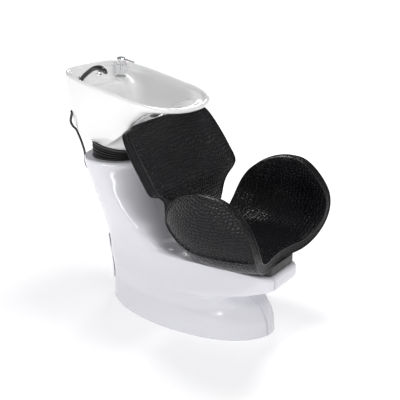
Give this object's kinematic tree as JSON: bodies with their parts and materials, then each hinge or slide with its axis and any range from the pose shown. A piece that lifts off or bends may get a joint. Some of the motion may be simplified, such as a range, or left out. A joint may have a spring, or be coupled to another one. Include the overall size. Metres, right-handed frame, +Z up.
{
  "type": "shampoo backwash unit",
  "caption": "Salon backwash unit: tilting white ceramic bowl on a leaning glossy base, with a curled black shell seat and shield-shaped backrest.",
  "frame": {"origin": "on the floor, at the middle of the row of floor bolt holes, under the joint between seat and base", "axes": "+Z up, -Y the way the seated client faces, +X the client's left"},
  "size_m": [0.6888, 1.051, 1.0426],
  "materials": {
    "white_gelcoat": "high gloss gelcoat on glass-fibre moulding",
    "white_ceramic": "glossy white glaze",
    "black_vinyl": "glossy crocodile-embossed upholstery vinyl",
    "plywood": "raw birch plywood",
    "black_rubber": "satin moulded rubber",
    "black_plastic": "gloss black grip",
    "chrome": "polished chrome plate",
    "red_indicator": "glossy red dot",
    "grey_steel": "dark grey powder coat",
    "zinc_fastener": "bright zinc plate",
    "brass": "bare turned brass",
    "grey_pvc": "grey PVC",
    "braided_steel": "braided stainless hose"
  },
  "bodies": {
    "base": {"base_shell": "white_gelcoat", "service_panel": "white_gelcoat", "panel_screws": "zinc_fastener", "steel_frame": "grey_steel", "tilt_bracket": "grey_steel", "bracket_bolts": "zinc_fastener", "tilt_pin": "zinc_fastener", "tilt_nut": "zinc_fastener", "friction_washers": "brass", "bellows": "black_rubber", "bellows_ring": "zinc_fastener", "bellows_screws": "zinc_fastener", "waste_hose": "grey_pvc", "waste_outlet": "grey_pvc", "hot_hose": "braided_steel", "cold_hose": "braided_steel", "mix_hose": "braided_steel", "inlet_fittings": "brass", "mix_coupling": "brass", "spray_hose": "black_rubber", "base_grommet": "black_rubber", "seat_padding": "black_vinyl", "seat_board": "plywood", "seat_cover": "black_vinyl", "seat_riser": "black_rubber", "seat_bolts": "zinc_fastener", "backrest_padding": "black_vinyl", "backrest_board": "plywood", "backrest_cover": "black_vinyl", "backrest_bracket": "grey_steel", "bracket_screws": "zinc_fastener", "backrest_bolts": "zinc_fastener"},
    "bowl": {"bowl": "white_ceramic", "tilt_yoke": "grey_steel", "bowl_gasket": "black_rubber", "waste_flange": "chrome", "waste_nut": "chrome", "mixer_gasket": "black_rubber", "mixer_body": "chrome", "mixer_cartridge": "grey_pvc", "mixer_nut": "brass", "spray_holder": "chrome", "spray_holder_nut": "brass", "bowl_grommet": "black_rubber"},
    "mixer_stem": {"mixer_stem": "zinc_fastener"},
    "mixer_lever": {"mixer_lever": "chrome", "mixer_indicator": "red_indicator"},
    "hand_spray": {"spray_handle": "black_plastic", "spray_collar": "chrome", "spray_nozzle": "chrome"},
    "hair_strainer": {"hair_strainer": "chrome"}
  },
  "joints": [
    {"name": "bowl_tilt", "type": "hinge", "parent": "base", "child": "bowl", "pos_m": [0, 0.395, 0.655], "axis": [-1, 0, 0], "range_deg": [0, 15], "deforming": ["bellows", "waste_hose", "hot_hose", "cold_hose", "mix_hose", "spray_hose"]},
    {"name": "mixer_swivel", "type": "hinge", "parent": "bowl", "child": "mixer_stem", "pos_m": [0.125, 0.488, 0.95], "axis": [0, -0.1392, 0.9903], "range_deg": [-45, 45]},
    {"name": "mixer_lift", "type": "hinge", "parent": "mixer_stem", "child": "mixer_lever", "pos_m": [0.125, 0.48104, 0.99951], "axis": [-1, 0, 0], "range_deg": [0, 16]},
    {"name": "spray_lift", "type": "slide", "parent": "bowl", "child": "hand_spray", "axis": [0, -0.766, 0.6428], "range_m": [0, 0.06]},
    {"name": "strainer_lift", "type": "slide", "parent": "bowl", "child": "hair_strainer", "axis": [0, 0, 1], "range_m": [0, 0.04]}
  ]
}
